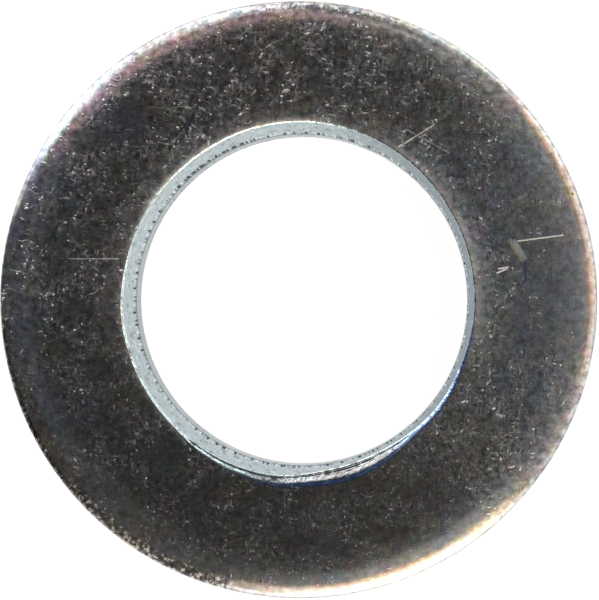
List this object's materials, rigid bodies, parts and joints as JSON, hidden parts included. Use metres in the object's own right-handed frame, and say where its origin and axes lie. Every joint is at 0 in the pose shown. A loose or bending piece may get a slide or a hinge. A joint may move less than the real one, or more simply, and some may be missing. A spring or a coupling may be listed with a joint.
{
  "type": "flat washer",
  "caption": "Flat round steel washer, zinc plated, punched from strip, with a plain round bolt hole and a rolled outer edge.",
  "frame": {"origin": "on the bore's axis, at the lower face", "axes": "+Z along the bore's axis, towards the upper face, whose outer edge is rolled; X and Y lie in the lower face"},
  "size_m": [0.03, 0.03, 0.003],
  "materials": {
    "zinc_plate": "bright zinc plating with a fine rolled and tumbled grain, satin in the fractured bands"
  },
  "bodies": {
    "root": {"flat_washer": "zinc_plate"}
  },
  "joints": []
}
